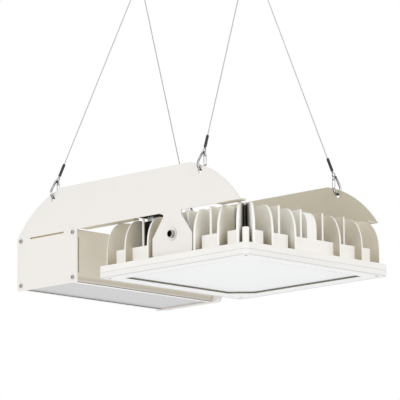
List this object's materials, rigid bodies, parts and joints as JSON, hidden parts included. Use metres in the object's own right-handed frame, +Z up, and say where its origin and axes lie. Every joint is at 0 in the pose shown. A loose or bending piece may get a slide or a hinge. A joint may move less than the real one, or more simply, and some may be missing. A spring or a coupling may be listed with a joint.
{
  "type": "grow lamp",
  "caption": "Suspended LED grow lamp: square finned lamp head with a glass cover and a box driver housing between curved side plates, hung by wires on snap hooks.",
  "frame": {"origin": "midway between the two top rings, on the line of their lowest wire that the lamp hangs from", "axes": "+X along the side plates from the driver housing to the lamp head, +Z up"},
  "size_m": [0.5888, 0.3777, 0.6405],
  "materials": {
    "white_paint": "satin powder coat",
    "housing_paint": "satin powder coat on an aluminium extrusion",
    "cast_white": "painted casting",
    "grey_panel": "satin sheet",
    "dark_rubber": "matt",
    "pale_rubber": "matt silicone",
    "black_plastic": "matt",
    "satin_glass": "satin",
    "steel": "plain",
    "dark_steel": "dark plated",
    "board_white": "white solder mask on an aluminium core",
    "driver_grey": "anodised case",
    "terminal_green": "moulded"
  },
  "bodies": {
    "ceiling_rings": {"left_top_ring": "steel", "right_top_ring": "steel"},
    "lamp": {"bezel_frame": "cast_white", "bezel_screw_far_left": "dark_steel", "bezel_screw_far_right": "dark_steel", "bezel_screw_near_left": "dark_steel", "bezel_screw_near_right": "dark_steel", "cover_glass": "satin_glass", "driver_base_cover": "grey_panel", "driver_housing": "housing_paint", "end_screw_far_left_high": "steel", "end_screw_far_left_low": "steel", "end_screw_far_right_high": "steel", "end_screw_far_right_low": "steel", "end_screw_near_left_high": "steel", "end_screw_near_left_low": "steel", "end_screw_near_right_high": "steel", "end_screw_near_right_low": "steel", "eye_far_left": "steel", "eye_far_right": "steel", "eye_near_left": "steel", "eye_near_right": "steel", "far_end_cap": "white_paint", "far_end_gasket": "pale_rubber", "far_hanger_plate": "white_paint", "far_tab_bolt": "dark_steel", "far_tab_washer": "steel", "glass_gasket": "dark_rubber", "head_gland_nut": "steel", "head_lead": "black_plastic", "head_lead_gland": "black_plastic", "heat_sink": "cast_white", "hook_far_left": "dark_steel", "hook_far_right": "dark_steel", "hook_near_left": "dark_steel", "hook_near_right": "dark_steel", "housing_lead_gland": "black_plastic", "led_board": "board_white", "led_driver": "driver_grey", "left_top_crimp": "dark_steel", "mains_gland": "black_plastic", "near_end_gasket": "pale_rubber", "near_hanger_plate": "white_paint", "near_tab_bolt": "dark_steel", "near_tab_washer": "steel", "right_top_crimp": "dark_steel", "sleeve_far_left": "black_plastic", "sleeve_far_right": "black_plastic", "sleeve_near_left": "black_plastic", "sleeve_near_right": "black_plastic", "terminal_block": "terminal_green", "wire_far_left": "steel", "wire_far_right": "steel", "wire_near_left": "steel", "wire_near_right": "steel"},
    "gate_near_left_body": {"gate_near_left": "steel"},
    "gate_near_right_body": {"gate_near_right": "steel"},
    "gate_far_left_body": {"gate_far_left": "steel"},
    "gate_far_right_body": {"gate_far_right": "steel"}
  },
  "joints": [
    {"name": "sway", "type": "hinge", "parent": "ceiling_rings", "child": "lamp", "pos_m": [0, 0, 0], "axis": [1, 0, 0], "range_deg": [-10, 10]},
    {"name": "gate_near_left_open", "type": "hinge", "parent": "lamp", "child": "gate_near_left_body", "pos_m": [-0.1837, -0.16351, -0.42144], "axis": [-1, 0, 0], "range_deg": [0, 14], "stiffness_Nm_per_rad": 0.005, "springref_deg": -5.73},
    {"name": "gate_near_right_open", "type": "hinge", "parent": "lamp", "child": "gate_near_right_body", "pos_m": [0.1837, -0.16351, -0.42144], "axis": [-1, 0, 0], "range_deg": [0, 14], "stiffness_Nm_per_rad": 0.005, "springref_deg": -5.73},
    {"name": "gate_far_left_open", "type": "hinge", "parent": "lamp", "child": "gate_far_left_body", "pos_m": [-0.1837, 0.16351, -0.42144], "axis": [1, 0, 0], "range_deg": [0, 14], "stiffness_Nm_per_rad": 0.005, "springref_deg": -5.73},
    {"name": "gate_far_right_open", "type": "hinge", "parent": "lamp", "child": "gate_far_right_body", "pos_m": [0.1837, 0.16351, -0.42144], "axis": [1, 0, 0], "range_deg": [0, 14], "stiffness_Nm_per_rad": 0.005, "springref_deg": -5.73}
  ]
}
